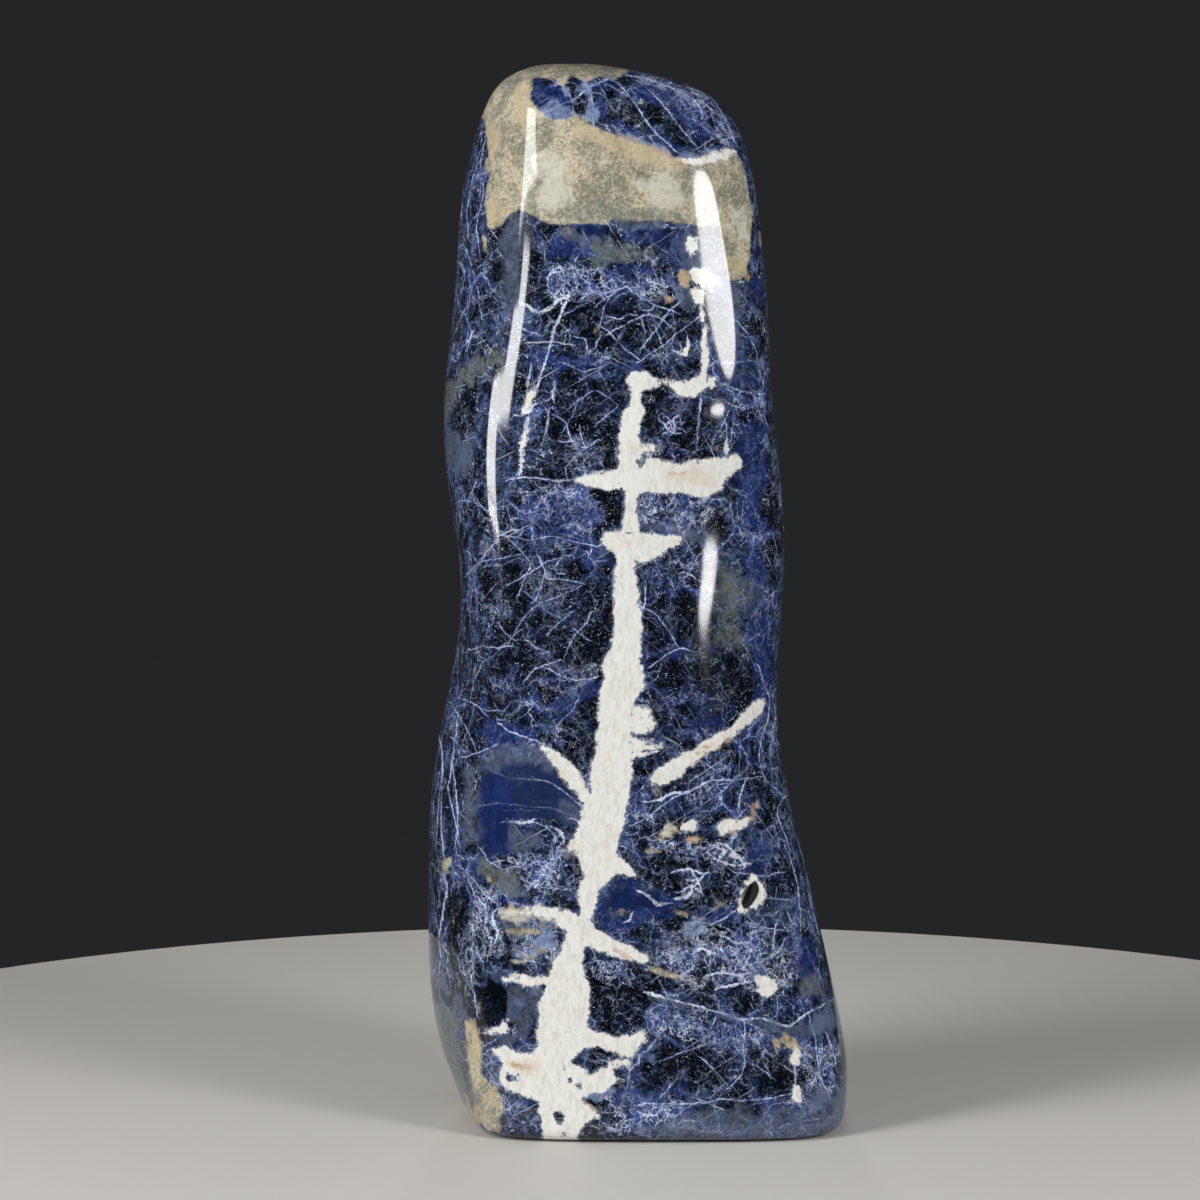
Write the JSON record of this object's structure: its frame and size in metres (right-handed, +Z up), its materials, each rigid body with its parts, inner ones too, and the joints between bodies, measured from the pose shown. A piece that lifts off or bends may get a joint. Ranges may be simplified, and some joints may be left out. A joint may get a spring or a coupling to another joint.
{
  "type": "polished sodalite freeform tower",
  "caption": "Tall freeform tower of blue sodalite with white veins, waisted, domed on top, glossy all over and sawn flat underneath so that it stands by itself.",
  "frame": {"origin": "the middle of the sawn foot's plane, under the middle of the stone", "axes": "+Z up the stone from foot to crown, -Y out of the broad front face, +X to the right seen from the front"},
  "size_m": [0.1608, 0.1166, 0.4],
  "materials": {
    "polished_sodalite": "polished"
  },
  "bodies": {
    "root": {"sodalite_tower": "polished_sodalite"}
  },
  "joints": []
}
